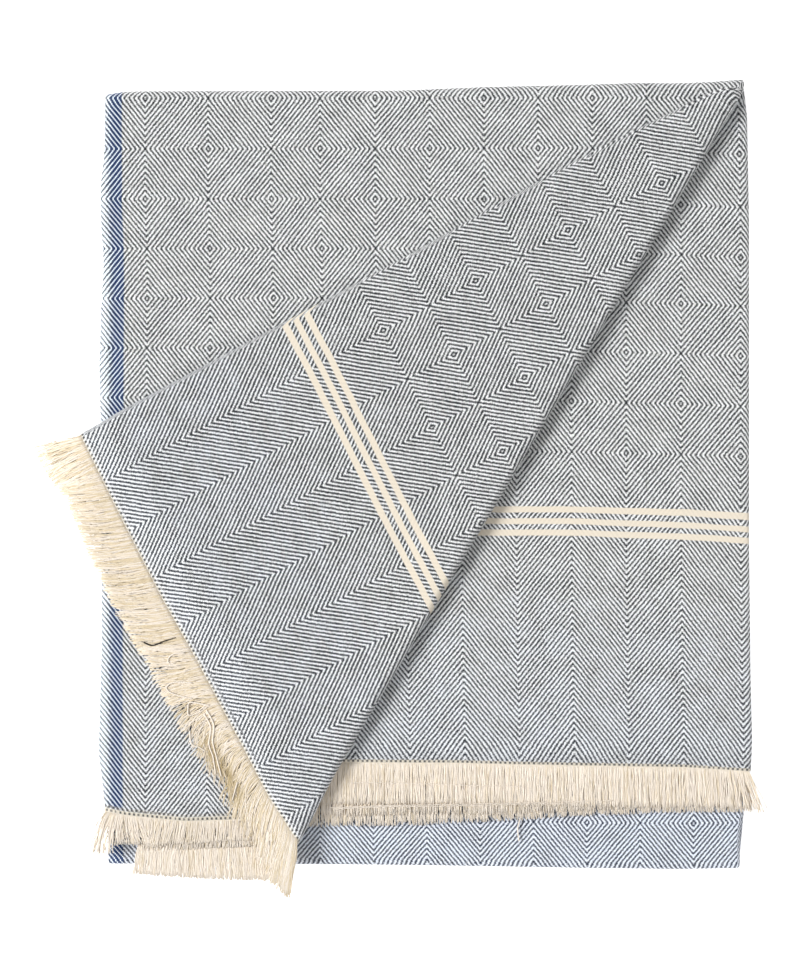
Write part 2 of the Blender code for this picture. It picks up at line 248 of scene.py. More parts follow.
# Where the weft rows lie along the cloth: run from the hem of the lower ply, half diamonds
ROW_FITS = (
    (577.5, 8.98),
    (602.9, 9.62),
    (1198.4, 25.92),
    (1206.9, 26.16),
    (1237.7, 27.0),
    (1802.4, 40.76),
    (1810.9, 40.97),
    (1851.0, 42.0),
    (1965.9, 45.0),
    (2005.0, 46.0),
    (2044.6, 47.0),
    (2124.5, 49.0),
    (2326.4, 54.17),
)
TOP_PLY_ROW_FIT = (102.3, 4.0, 38.88)      # y, half diamonds there, millimetres for each
LOWER_PLY_ROW_FIT = (-38.4, 1.0, 41.05)

# Where the pattern columns stray from a straight run on the top ply: y, shift left, shift left for each mm
TOP_COLUMN_DRIFT = (
    (-280.0, 0.6, 0.024),
    (-100.0, 0.6, 0.024),
    (20.0, 0.4, 0.0),
    (102.0, 0.4, 0.0),
    (141.0, 0.0, 0.0),
    (179.0, 0.3, 0.0),
    (219.0, 1.7, 0.0),
    (296.0, 1.7, 0.0),
)
DRIFT_FADE_START = -80.0
DRIFT_FADE_RUN = 60.0

# The same on the turned-back ply: y, shift away from its folded edge
LOWER_COLUMN_DRIFT = (
    (-283.0, 0.7),
    (-38.0, 1.0),
    (44.0, 1.9),
    (126.0, 3.3),
    (208.0, 4.9),
    (290.0, 5.3),
)
LOWER_ROW_SKEW = (
    (0.0, 2.0),
    (40.0, 1.8),
    (165.0, -1.5),
    (500.0, -2.5),
)

# Lift of the topmost row and wider spacing of the ends on the top ply: x, millimetres
TOP_ROW_LIFTS = (
    (-254.0, 0.4),
    (-60.0, 0.6),
    (130.0, 1.3),
    (254.0, 1.5),
)
TOP_ROW_LIFT_START = 215.0
TOP_ROW_LIFT_RUN = 60.0
TOP_END_SPREAD = (
    (3.0, 0.0),
    (215.0, 2.3),
    (264.0, 2.8),
)

# The counts of the top panel run on around its far fold and fade out beneath
HEM_Y = -283.0              # start of the run along the cloth
TOP_PANEL_RUN = 577.5       # run at the far fold of the top panel
CARRY_START = 602.9
CARRY_RUN = 300.0
FRONT_PANEL_RUN = 1810.9    # run at the far fold of the second panel

# Droop of the weft rows at the right of the second panel: share by x, then depth by y
DROOP_SHARES = (
    (115.0, 0.0),
    (157.0, 0.3),
    (201.0, 0.52),
    (246.0, 1.0),
    (254.0, 1.1),
)
DROOP_DEPTHS = (
    (-225.0, 7.0),
    (-120.0, 6.3),
    (-35.0, 5.9),
    (-15.0, 3.1),
    (60.0, 4.2),
    (300.0, 4.2),
)

# Cream stripes, counted in picks from the last diamond towards the hem: first, last
STRIPES = ((2.4, 6.6), (10.55, 14.5), (18.2, 22.4))

BLUE_MIDDLE_PICK = 930.0    # middle of the bluest dye lot
TURNED_BACK_END = 540.0     # warp end past which the cloth is the turned-back ply
TURNED_BACK_PICK = 320.0    # pick before which that ply lies face up
NO_HEM = 50.0               # distance to the hem given to points far from any
HEM_SCALE = 0.01            # distances to the hem are stored in a UV map in these units

random_source = random.Random(11)


def table_value(rows, key, column):
    keys = [row[0] for row in rows]
    values = [row[column] for row in rows]
    return float(np.interp(key, keys, values))


def smooth_share(value):
    limited = min(max(value, 0.0), 1.0)
    return limited * limited * (3.0 - 2.0 * limited)


def edge_fade(y):
    if y >= 0.0:
        return min(max((y - EDGE_SHIFT_ZONE) / (NORTH_TURN_Y - EDGE_SHIFT_ZONE), 0.0), 1.0)
    return -min(max((-y - EDGE_SHIFT_ZONE) / (-SOUTH_TURN_Y - EDGE_SHIFT_ZONE), 0.0), 1.0)


def side_fade(x):
    if x >= 0.0:
        return (x / HALF_WIDTH) ** 2
    return -((x / HALF_WIDTH) ** 2)


def plan_point(x, y, top_share):
    """Plan position of a flat point; top_share is 1 on the top panel and 0 on the other three."""
    fade = edge_fade(y)
    if fade > 0.0:
        new_y = y + fade * table_value(EDGE_SHIFTS, x, 1)
    else:
        new_y = y - fade * (1.0 - top_share) * table_value(EDGE_SHIFTS, x, 2)
    side = side_fade(x)
    if side > 0.0:
        lower = table_value(RIGHT_SHIFTS, y, 1)
        upper = table_value(TOP_RIGHT_SHIFTS, y, 1)
        new_x = x + side * (lower + (upper - lower) * top_share)
    else:
        new_x = x - side * table_value(LEFT_SHIFTS, y, 1)
    return new_x, new_y


def roll_distance(x, y):
    return (x - ROLL_START_X) * ROLL_NORMAL_X + (y - ROLL_START_Y) * ROLL_NORMAL_Y


def turn_corner(x, y, z, side="roll"):
    """Roll a point of the top panel back; loose yarns keep to the side of the roll that they start on."""
    past = roll_distance(x, y)
    if side == "flat" or (side == "roll" and past <= 0.0):
        return x, y, z
    radius = ROLL_AXIS_Z - z
    if side == "roll" and past < ROLL_ARC:
        angle = past / ROLL_RADIUS
        across = radius * math.sin(angle)
        height = ROLL_AXIS_Z - radius * math.cos(angle)
    else:
        across = ROLL_ARC - past
        sink = ROLL_SETTLE * smooth_share((past - ROLL_ARC) / ROLL_SETTLE_RUN)
        height = ROLL_AXIS_Z + radius - sink
    shift = across - past
    return x + shift * ROLL_NORMAL_X, y + shift * ROLL_NORMAL_Y, height


def wave_height(x, y):
    first = math.cos(2.0 * math.pi * (x + 60.0) / WAVE_LENGTH_X)
    second = math.cos(2.0 * math.pi * (y - 80.0) / WAVE_LENGTH_Y)
    return WAVE_HEIGHT * first * second


def hang_depth(x, y):
    left = max(HANG_LEFT_X - x, 0.0)
    near = max(HANG_NEAR_Y - y, 0.0)
    return (left * left + near * near) / (2.0 * HANG_CURVE)


def rest_point(x, y, z, on_top, side="roll"):
    """Final place of a flat point, in metres."""
    if on_top:
        x, y, z = turn_corner(x, y, z, side)
        from_corner = (x - CORNER_X) ** 2 + (y - CORNER_Y) ** 2
        x += CORNER_PULL * math.exp(-from_corner / (2.0 * CORNER_REACH ** 2))
        z -= hang_depth(x, y)
    z *= 1.0 + wave_height(x, y) / STACK_TOP_Z
    return Vector(((x - OUTLINE_MIDDLE_X) * MM, (y - OUTLINE_MIDDLE_Y) * MM, z * MM))


def spread(first, last, step):
    count = max(1, round(abs(last - first) / step))
    return [first + (last - first) * index / count for index in range(count + 1)]


def ply_profile():
    """Points of the sheet across its width: x, ply offset, normal x, normal offset, ply, share."""
    points = [(x, PLY_PITCH, 0.0, 1.0, "top", 0.0)
              for x in spread(-HALF_WIDTH, RIGHT_TURN_X, COLUMN_STEP)]
    for step in range(1, RIGHT_TURN_STEPS):
        share = step / RIGHT_TURN_STEPS
        side, rise = math.sin(math.pi * share), math.cos(math.pi * share)
        points.append((RIGHT_TURN_X + PLY_PITCH * side, PLY_PITCH * rise, side, rise, "right", share))
    points += [(x, -PLY_PITCH, 0.0, -1.0, "lower", 0.0)
               for x in spread(RIGHT_TURN_X, LEFT_FOLD_X, COLUMN_STEP)]
    small = PLY_PITCH / 2.0
    for step in range(1, LEFT_TURN_STEPS):
        share = step / LEFT_TURN_STEPS
        side, rise = -math.sin(math.pi * share), -math.cos(math.pi * share)
        points.append((LEFT_FOLD_X + small * side, -small + small * rise, side, rise, "left", share))
    points += [(x, 0.0, 0.0, 1.0, "hidden", 0.0)
               for x in spread(LEFT_FOLD_X, HIDDEN_SELVEDGE_X, HIDDEN_STEP)]
    return points


def hem_height(hems, x, ply, share):
    if ply in hems:
        return table_value(hems[ply], x, 1)
    first, last = ("top", "lower") if ply == "right" else ("lower", "hidden")
    start = table_value(hems[first], x, 1)
    return start + (table_value(hems[last], x, 1) - start) * share


def mixed_fit(weights):
    total = [0.0, 0.0, 0.0, 0.0]
    for name, weight in weights.items():
        for index, value in enumerate(END_FITS[name]):
            total[index] += value * weight
    return total


def end_count(plan_x, y, ply, share, fit, right_edge, carry):
    """Warp end of a point, counted from the selvedge of the top ply."""
    left, top_pitch, fold_count, lower_pitch = fit
    fade = 1.0 - min(max((plan_x - DRIFT_FADE_START) / DRIFT_FADE_RUN, 0.0), 1.0)
    drift = table_value(TOP_COLUMN_DRIFT, y, 1) + table_value(TOP_COLUMN_DRIFT, y, 2) * (plan_x - left)
    left -= (drift * fade - table_value(TOP_END_SPREAD, plan_x, 1)) * carry
    fold_count -= table_value(LOWER_COLUMN_DRIFT, y, 1) / lower_pitch * carry
    on_top = (plan_x - left) / top_pitch
    on_lower = fold_count + (right_edge - plan_x) / lower_pitch
    if ply == "right" and carry > 0.0:
        return fold_count - (1.0 - share) * math.pi * PLY_PITCH / lower_pitch
    on_hidden = fold_count + (right_edge - LEFT_FOLD_X) / lower_pitch + (plan_x - LEFT_FOLD_X) / lower_pitch
    if ply == "top":
        return on_top
    if ply == "lower":
        return on_lower
    if ply == "hidden":
        return on_hidden
    if ply == "right":
        return on_top + (on_lower - on_top) * share
    return on_lower + (on_hidden - on_lower) * share


def row_count(run, x, y, ply, share, carry):
    """Half diamonds from the first striped end to a point."""
    along_stack = table_value(ROW_FITS, run, 1)
    if carry == 0.0:
        return along_stack
    skew = table_value(LOWER_ROW_SKEW, RIGHT_TURN_X - x, 1)
    lift = table_value(TOP_ROW_LIFTS, x, 1) * smooth_share((y - TOP_ROW_LIFT_START) / TOP_ROW_LIFT_RUN)
    top = TOP_PLY_ROW_FIT[1] + (y - lift - TOP_PLY_ROW_FIT[0]) / TOP_PLY_ROW_FIT[2]
    lower = LOWER_PLY_ROW_FIT[1] + (y - skew - LOWER_PLY_ROW_FIT[0]) / LOWER_PLY_ROW_FIT[2]
    if ply == "right":
        top += (lower - top) * share
    elif ply != "top":
        top = lower
    return along_stack + (top - along_stack) * carry


def path_rows():
    """Rows between the hems: y, z, side direction y and z, top share, run, fit weights."""
    rows = []

    def straight(ys, z, side, top_share, weights, start_run, start_y):
        for y in ys:
            rows.append((y, z, 0.0, side, top_share, start_run + abs(y - start_y), weights))

    def turn(y, z, radius, side, angles, steps, shares, start_run, first, last):
        for step in range(steps + 1):
            share = step / steps
            angle = angles[0] + (angles[1] - angles[0]) * share
            across, rise = math.cos(angle), math.sin(angle)
            weights = {first: 1.0 - share, last: share} if first != last else {first: 1.0}
            rows.append((y + radius * across, z + radius * rise, across * side, rise * side,
                         shares[0] + (shares[1] - shares[0]) * share,
                         start_run + math.pi * radius * share, weights))

    quarter = math.pi / 2.0
    outer = (BACK_END_Z - BACK_MIDDLE_Z) / 2.0
    inner = PANEL_PITCH / 2.0
    top_ys = spread(TOP_ROWS_FIRST, TOP_ROWS_LAST, ROW_STEP)
    straight(top_ys, BACK_END_Z, 1.0, 1.0, {"back": 1.0}, TOP_ROWS_FIRST - HEM_Y, TOP_ROWS_FIRST)
    run = NORTH_TURN_Y - HEM_Y
    turn(NORTH_TURN_Y, BACK_MIDDLE_Z + outer, outer, 1.0, (quarter, -quarter), OUTER_TURN_STEPS,
         (1.0, 0.0), run, "back", "back")
    run += math.pi * outer
    hidden_ys = spread(NORTH_TURN_Y - HIDDEN_STEP, SOUTH_TURN_Y + HIDDEN_STEP, HIDDEN_STEP)
    straight(hidden_ys, BACK_MIDDLE_Z, -1.0, 0.0, {"back": 1.0}, run, NORTH_TURN_Y)
    run += NORTH_TURN_Y - SOUTH_TURN_Y
    turn(SOUTH_TURN_Y, BACK_MIDDLE_Z + inner, inner, 1.0, (-quarter, -3.0 * quarter), INNER_TURN_STEPS,
         (0.0, 0.0), run, "back", "front_middle")
    run += math.pi * inner
    near = spread(SOUTH_TURN_Y + ROW_STEP, NEAR_ROWS_LAST, ROW_STEP)
    far = spread(NEAR_ROWS_LAST + HIDDEN_STEP, NORTH_TURN_Y - HIDDEN_STEP, HIDDEN_STEP)
    straight(near + far, FRONT_MIDDLE_Z, 1.0, 0.0, {"front_middle": 1.0}, run, SOUTH_TURN_Y)
    run += NORTH_TURN_Y - SOUTH_TURN_Y
    turn(NORTH_TURN_Y, FRONT_MIDDLE_Z + inner, inner, -1.0, (-quarter, quarter), INNER_TURN_STEPS,
         (0.0, 0.0), run, "front_middle", "front_end")
    run += math.pi * inner
    front_ys = spread(NORTH_TURN_Y - ROW_STEP, SECOND_ROWS_LAST, ROW_STEP)
    straight(front_ys, FRONT_END_Z, -1.0, 0.0, {"front_end": 1.0}, run, NORTH_TURN_Y)
    return rows


def right_edge_of(y, top_share):
    return plan_point(RIGHT_TURN_X, y, top_share)[0] + PLY_PITCH


def sheet_grid():
    """Flat points of both faces with their weave counts and distance to the hem."""
    profile = ply_profile()
    grid = []
    for row in ["back hem"] + path_rows() + ["front hem"]:
        line = []
        for x, offset, normal_x, normal_offset, ply, share in profile:
            faces = []
            if isinstance(row, str):
                is_back = row == "back hem"
                hems = TOP_PANEL_HEMS if is_back else SECOND_PANEL_HEMS
                row_y = hem_height(hems, x, ply, share)
                row_z = BACK_END_Z if is_back else FRONT_END_Z
                side_y, side_z = 0.0, 1.0 if is_back else -1.0
                top_share = 1.0 if is_back else 0.0
                run = row_y - HEM_Y if is_back else FRONT_PANEL_RUN + NORTH_TURN_Y - row_y
                weights = {"back": 1.0} if is_back else {"front_end": 1.0}
                hem_gap = 0.0
            else:
                row_y, row_z, side_y, side_z, top_share, run, weights = row
                hem_gap = NO_HEM
                if top_share == 1.0 and side_y == 0.0:
                    hem_gap = row_y - hem_height(TOP_PANEL_HEMS, x, ply, share)
                elif "front_end" in weights and len(weights) == 1:
                    hem_gap = row_y - hem_height(SECOND_PANEL_HEMS, x, ply, share)
            carry = 1.0 - smooth_share((run - CARRY_START) / CARRY_RUN)
            middle_x, middle_y = plan_point(x, row_y, top_share)
            ends = end_count(middle_x, row_y, ply, share, mixed_fit(weights),
                             right_edge_of(row_y, top_share), carry)
            run_here = run + (middle_y - row_y) * top_share
            if weights == {"front_end": 1.0}:
                run_here -= table_value(DROOP_SHARES, x, 1) * table_value(DROOP_DEPTHS, row_y, 1)
            fit_y = middle_y
            if run >= TOP_PANEL_RUN:
                fit_y = plan_point(x, NORTH_TURN_Y, 1.0)[1] + run - TOP_PANEL_RUN
            rows_along = row_count(run_here, x, fit_y, ply, share, carry)
            for half in (CLOTH_HALF, -CLOTH_HALF):
                place_x = x + half * normal_x
                place_offset = offset + half * normal_offset
                new_x, new_y = plan_point(place_x, row_y, top_share)
                if row == "front hem":
                    new_y = row_y
                faces.append((new_x, new_y + place_offset * side_y, row_z + place_offset * side_z))
            line.append((faces, ends, rows_along * PICKS_IN_HALF_DIAMOND, min(hem_gap, NO_HEM)))
        grid.append(line)
    return grid


def cut_top_panel(build, faces):
    """Cut the top panel along lines parallel to the roll so that it can bend there."""
    distances = [ROLL_ARC * step / ROLL_STEPS for step in range(ROLL_STEPS + 1)]
    distances += [ROLL_ARC + ROLL_SETTLE_RUN * step / ROLL_SETTLE_STEPS
                  for step in range(1, ROLL_SETTLE_STEPS + 1)]
    live = list(faces)
    for distance in distances:
        edges = {edge for face in live for edge in face.edges}
        corners = {corner for face in live for corner in face.verts}
        place = Vector((ROLL_START_X + distance * ROLL_NORMAL_X,
                        ROLL_START_Y + distance * ROLL_NORMAL_Y, 0.0))
        result = bmesh.ops.bisect_plane(
            build, geom=live + list(edges) + list(corners), dist=0.001, plane_co=place,
            plane_no=Vector((ROLL_NORMAL_X, ROLL_NORMAL_Y, 0.0)))
        live = [item for item in result["geom"] if isinstance(item, bmesh.types.BMFace)]


def build_cloth(material):
    grid = sheet_grid()
    rows, columns = len(grid), len(grid[0])
    build = bmesh.new()
    weave_map = build.loops.layers.uv.new("weave")
    hem_map = build.loops.layers.uv.new("hem")
    points = []
    facts = {}
    for line in grid:
        new_line = []
        for faces, ends, picks, hem_gap in line:
            pair = [build.verts.new(place) for place in faces]
            for point in pair:
                facts[point] = (ends, picks, hem_gap)
            new_line.append(pair)
        points.append(new_line)
    top_faces = []
    top_rows = len(spread(TOP_ROWS_FIRST, TOP_ROWS_LAST, ROW_STEP)) + 1

    def add(corners, row):
        face = build.faces.new(corners)
        face.smooth = True
        for loop in face.loops:
            ends, picks, hem_gap = facts[loop.vert]
            loop[weave_map].uv = (ends * INDEX_SCALE, picks * INDEX_SCALE)
            loop[hem_map].uv = (hem_gap * HEM_SCALE, 0.0)
        if row < top_rows:
            top_faces.append(face)

    for row in range(rows - 1):
        for column in range(columns - 1):
            for side in (0, 1):
                add((points[row][column][side], points[row][column + 1][side],
                     points[row + 1][column + 1][side], points[row + 1][column][side]), row)
    for row in (0, rows - 1):
        for column in range(columns - 1):
            add((points[row][column][0], points[row][column + 1][0],
                 points[row][column + 1][1], points[row][column][1]), row)
    for column in (0, columns - 1):
        for row in range(rows - 1):
            add((points[row][column][0], points[row + 1][column][0],
                 points[row + 1][column][1], points[row][column][1]), row)
    bmesh.ops.recalc_face_normals(build, faces=build.faces[:])
    cut_top_panel(build, top_faces)
    for point in build.verts:
        x, y, z = point.co
        point.co = rest_point(x, y, z, z > TOP_PANEL_FLOOR_Z)
    bmesh.ops.recalc_face_normals(build, faces=build.faces[:])
    data = bpy.data.meshes.new("khes_cloth")
    build.to_mesh(data)
    build.free()
    data.materials.append(material)
    cloth = bpy.data.objects.new("khes_cloth", data)
    bpy.context.scene.collection.objects.link(cloth)
    return cloth


class NodeNet:
    """Short names for the shader nodes used below."""

    def __init__(self, name):
        self.material = bpy.data.materials.new(name)
        self.material.use_nodes = True
        self.tree = self.material.node_tree
        self.shader = self.tree.nodes["Principled BSDF"]

    def put(self, socket, value):
        if isinstance(value, bpy.types.NodeSocket):
            self.tree.links.new(value, socket)
        else:
            socket.default_value = value

    def math(self, operation, first, second=0.0, third=0.0):
        node = self.tree.nodes.new("ShaderNodeMath")
        node.operation = operation
        for socket, value in zip(node.inputs, (first, second, third)):
            self.put(socket, value)
        return node.outputs[0]

    def times(self, first, second):
        return self.math("MULTIPLY", first, second)

    def minus(self, first, second):
        return self.math("SUBTRACT", first, second)

    def times_add(self, first, second, third):
        return self.math("MULTIPLY_ADD", first, second, third)

    def step(self, value, low, high):
        """0 below low, 1 above high, smooth between."""
        node = self.tree.nodes.new("ShaderNodeMapRange")
        node.interpolation_type = "SMOOTHSTEP"
        for socket, item in zip(node.inputs, (value, low, high, 0.0, 1.0)):
            self.put(socket, item)
        return node.outputs[0]

    def mix(self, share, first, second):
        node = self.tree.nodes.new("ShaderNodeMix")
        node.data_type = "RGBA"
        self.put(node.inputs[0], share)
        self.put(node.inputs[6], first)
        self.put(node.inputs[7], second)
        return node.outputs[2]

    def blend(self, share, first, second):
        node = self.tree.nodes.new("ShaderNodeMix")
        node.data_type = "FLOAT"
        self.put(node.inputs[0], share)
        self.put(node.inputs[2], first)
        self.put(node.inputs[3], second)
        return node.outputs[0]

    def noise(self, x, y, scale, detail=2.0):
        join = self.tree.nodes.new("ShaderNodeCombineXYZ")
        self.put(join.inputs[0], x)
        self.put(join.inputs[1], y)
        node = self.tree.nodes.new("ShaderNodeTexNoise")
        node.inputs["Scale"].default_value = scale
        node.inputs["Detail"].default_value = detail
        self.tree.links.new(join.outputs[0], node.inputs["Vector"])
        return node.outputs["Fac"]

    def map_axes(self, name):
        node = self.tree.nodes.new("ShaderNodeUVMap")
        node.uv_map = name
        parts = self.tree.nodes.new("ShaderNodeSeparateXYZ")
        self.tree.links.new(node.outputs[0], parts.inputs[0])
        return parts.outputs[0], parts.outputs[1]

    def bump(self, height, strength, distance):
        node = self.tree.nodes.new("ShaderNodeBump")
        node.inputs["Strength"].default_value = strength
        node.inputs["Distance"].default_value = distance
        self.tree.links.new(height, node.inputs["Height"])
        self.tree.links.new(node.outputs[0], self.shader.inputs["Normal"])


def colour(red, green, blue):
    """Linear colour from screen values of 0 to 255."""
    return tuple((value / 255.0) ** 2.2 for value in (red, green, blue)) + (1.0,)


WARP_LIGHT = colour(239, 240, 241)
WARP_SHADE = colour(208, 208, 206)
WARP_BLUED = colour(231, 238, 250)
WEFT_NEUTRAL = colour(44, 47, 50)
WEFT_BLUE = colour(50, 58, 78)
WEFT_PALE = colour(96, 99, 102)
SLUB_DARK = colour(16, 20, 34)
STRIPE_CREAM = colour(228, 217, 199)
BAND_PALE = colour(228, 239, 252)
BAND_NAVY = colour(30, 56, 100)
HEM_CREAM = colour(232, 223, 205)
HEM_DOT = colour(40, 40, 46)
FRINGE_CREAM = colour(242, 231, 217)
FRINGE_SHADE = colour(223, 206, 174)
# Painted shade of the hollow in the tangle of the turned-back fringe
PAINTED_HOLLOW_SHADE = colour(176, 154, 106)
# Painted shadow: colour of a dark yarn laid where a shaded gap lies between two locks
PAINTED_GAP_SHADOW = colour(48, 40, 32)
HEM_ROW_PITCH = 2.9         # millimetres from one row of hem dots to the next
HEM_DOT_STRENGTH = 0.9
THREAD_STAIR = 0.8          # how squarely the twill steps from thread to thread


def cloth_material():
    net = NodeNet("khes_weave")
    u, v = net.map_axes("weave")
    hem_u, _ = net.map_axes("hem")
    true_ends = net.times(u, 1.0 / INDEX_SCALE)
    true_picks = net.times(v, 1.0 / INDEX_SCALE)
    wander_u = net.minus(net.noise(net.times(true_ends, 0.05),
                                   net.times(true_picks, 0.05), 1.0, 3.0), 0.5)
    wander_v = net.minus(net.noise(net.times_add(true_ends, 0.05, 40.0),
                                   net.times(true_picks, 0.05), 1.0, 3.0), 0.5)
    ends = net.times_add(wander_u, 1.3, true_ends)
    picks = net.times_add(wander_v, 1.3, true_picks)
    end_part = net.math("FRACT", ends)
    pick_part = net.math("FRACT", picks)
    end_step = net.times_add(net.minus(end_part, 0.5), -THREAD_STAIR, ends)
    pick_step = net.times_add(net.minus(pick_part, 0.5), -THREAD_STAIR, picks)

    # Level of the point twill across the cloth
    wide = net.math("PINGPONG", net.minus(end_step, float(FIRST_CENTRE_END)), float(WIDE_HALF_ENDS))
    third_centre = FIRST_CENTRE_END + 2 * WIDE_HALF_ENDS
    drop = ENDS_IN_HALF_DIAMOND - SHORT_HALF_ENDS
    regular_start = float(third_centre - drop)
    regular = net.minus(net.math("PINGPONG", net.minus(end_step, regular_start),
                                 float(ENDS_IN_HALF_DIAMOND)), float(drop))
    is_regular = net.math("GREATER_THAN", end_step, float(third_centre))
    across = net.blend(is_regular, wide, regular)
    late_start = regular_start + LATE_WIDE_ENDS
    late = net.minus(net.math("PINGPONG", net.minus(end_step, late_start),
                              float(ENDS_IN_HALF_DIAMOND)), float(drop + LATE_WIDE_ENDS))
    across = net.blend(net.math("GREATER_THAN", end_step, LATE_WIDE_END), across, late)

    # Level along the cloth: it turns in every half diamond between the striped ends
    half = float(PICKS_IN_HALF_DIAMOND)
    last_turn = float((HALF_ROWS_IN_CLOTH - 1) * PICKS_IN_HALF_DIAMOND)
    turning = net.math("PINGPONG", net.minus(pick_step, half), half)
    first_end = net.minus(half, pick_step)
    last_end = net.minus(float(HALF_ROWS_IN_CLOTH * PICKS_IN_HALF_DIAMOND), pick_step)
    before = net.math("LESS_THAN", pick_step, half)
    after = net.math("GREATER_THAN", pick_step, last_turn)
    along = net.blend(after, net.blend(before, turning, first_end), last_end)

    level = net.math("PINGPONG", net.math("ADD", across, along), 2.0)
    fibre = net.noise(net.times(ends, 0.8), net.times(picks, 0.8), 1.0, 2.0)
    loose = net.times_add(net.minus(fibre, 0.5), 1.5, level)
    patch = net.noise(net.times(ends, 0.05), net.times_add(picks, 0.07, 9.0), 1.0, 3.0)
    loose = net.times_add(net.minus(patch, 0.5), 0.3, loose)
    in_band = net.minus(1.0, net.step(true_ends, BAND_ENDS - 1.0, BAND_ENDS + 1.0))
    band_weight = net.blend(net.step(true_ends, 2.0, 14.0), -0.25, 0.4)
    loose = net.times_add(in_band, band_weight, loose)
    turned_face = net.times(net.math("GREATER_THAN", true_ends, TURNED_BACK_END),
                            net.math("LESS_THAN", true_picks, TURNED_BACK_PICK))
    loose = net.times_add(turned_face, 0.06, loose)
    dark = net.step(loose, 0.64, 1.36)

    # Picks past the last diamond, from whichever end is nearer
    past_first = net.times(picks, -1.0)
    past_last = net.minus(picks, float(HALF_ROWS_IN_CLOTH * PICKS_IN_HALF_DIAMOND))
    past = net.math("MAXIMUM", past_first, past_last)
    stripe = None
    for first, last in STRIPES:
        inside = net.times(net.step(past, first - 0.3, first + 0.3),
                           net.minus(1.0, net.step(past, last - 0.3, last + 0.3)))
        stripe = inside if stripe is None else net.math("MAXIMUM", stripe, inside)

    # Blue selvedge band: pale outer ends, navy inner ends
    band = net.minus(1.0, net.step(ends, BAND_ENDS - 0.5, BAND_ENDS + 0.5))
    inner_band = net.times(band, net.step(ends, 5.0, 13.0))

    # Dye lots of the weft, most blue where the cloth runs through the lower panels
    lots = net.noise(net.times(picks, 0.02), 3.7, 1.0, 3.0)
    middle_gap = net.math("ABSOLUTE", net.minus(picks, BLUE_MIDDLE_PICK))
    blue_share = net.times_add(net.step(past, -60.0, 170.0), 0.35,
                               net.minus(0.86, net.step(middle_gap, 150.0, 600.0)))
    blue_share = net.times_add(net.minus(lots, 0.5), 0.4, blue_share)
    blue_share = net.times_add(net.minus(patch, 0.5), -0.7, blue_share)
    blue_share = net.math("MINIMUM", net.math("MAXIMUM", blue_share, 0.0), 1.0)
    weft = net.mix(blue_share, WEFT_NEUTRAL, WEFT_BLUE)

    # Slubs and uneven spinning of both threads
    pick_number = net.math("FLOOR", picks)
    end_number = net.math("FLOOR", ends)
    slub = net.noise(net.times(ends, 0.16), net.times(pick_number, 7.3), 1.0, 2.0)
    weft = net.mix(net.times(net.step(slub, 0.56, 0.72), 0.8), weft, SLUB_DARK)
    thin = net.minus(1.0, net.step(slub, 0.3, 0.48))
    weft = net.mix(net.times(thin, 0.7), weft, WEFT_PALE)
    weft = net.mix(net.times(inner_band, 0.8), weft, BAND_NAVY)
    spun = net.noise(net.times(end_number, 5.1), net.times(picks, 0.22), 1.0, 2.0)
    warp = net.mix(net.step(spun, 0.4, 0.75), WARP_LIGHT, WARP_SHADE)
    warp = net.mix(blue_share, warp, WARP_BLUED)
    warp = net.mix(net.times(band, 0.8), warp, BAND_PALE)
    warp = net.mix(stripe, warp, STRIPE_CREAM)
    weft = net.mix(net.times(stripe, 0.93), weft, STRIPE_CREAM)
    base = net.mix(dark, warp, weft)

    # Hem: dark dots where the last picks pass between groups of four ends, two rows deep on the end
    # that lies on top and one on the other
    gap = net.times(hem_u, 1.0 / HEM_SCALE)
    row_number = net.math("FLOOR", net.math("DIVIDE", gap, HEM_ROW_PITCH))
    group = net.math("FRACT", net.times_add(row_number, 0.5, net.times(ends, 0.25)))
    group = net.math("ABSOLUTE", net.minus(group, 0.5))
    in_group = net.minus(1.0, net.step(group, 0.17, 0.3))
    turned_back = net.times(net.math("GREATER_THAN", ends, TURNED_BACK_END),
                            net.math("LESS_THAN", picks, 0.0))
    rows = net.math("FRACT", net.math("DIVIDE", gap, HEM_ROW_PITCH))
    rows = net.math("ABSOLUTE", net.minus(rows, 0.5))
    rows_seen = net.minus(1.0, net.step(rows, 0.21, 0.4))
    ragged = net.noise(net.times(ends, 0.3), 5.0, 1.0, 1.0)
    depth = net.blend(net.math("LESS_THAN", picks, 0.0), HEM_ROW_PITCH, 2.0 * HEM_ROW_PITCH)
    depth = net.times_add(net.minus(ragged, 0.5), 2.4, depth)
    near_hem = net.minus(1.0, net.step(gap, net.minus(depth, 1.2), depth))
    hem_strength = net.blend(net.step(gap, HEM_ROW_PITCH - 0.4, HEM_ROW_PITCH + 0.4), 0.9, 0.3)
    hem_strength = net.times(hem_strength, net.blend(turned_back, 1.0, 0.6))
    uneven = net.noise(net.times(ends, 0.45), row_number, 1.0, 1.0)
    dot = net.times(net.times(in_group, rows_seen), net.step(uneven, 0.3, 0.5))
    inner_row = net.times(turned_back, net.math("GREATER_THAN", gap, HEM_ROW_PITCH * 0.6))
    hem_warp = net.mix(inner_row, HEM_CREAM, WARP_LIGHT)
    base = net.mix(net.times(near_hem, hem_strength), base, hem_warp)
    dot_share = net.times(net.times(near_hem, dot), HEM_DOT_STRENGTH)
    base = net.mix(dot_share, base, HEM_DOT)
    net.put(net.shader.inputs["Base Color"], base)

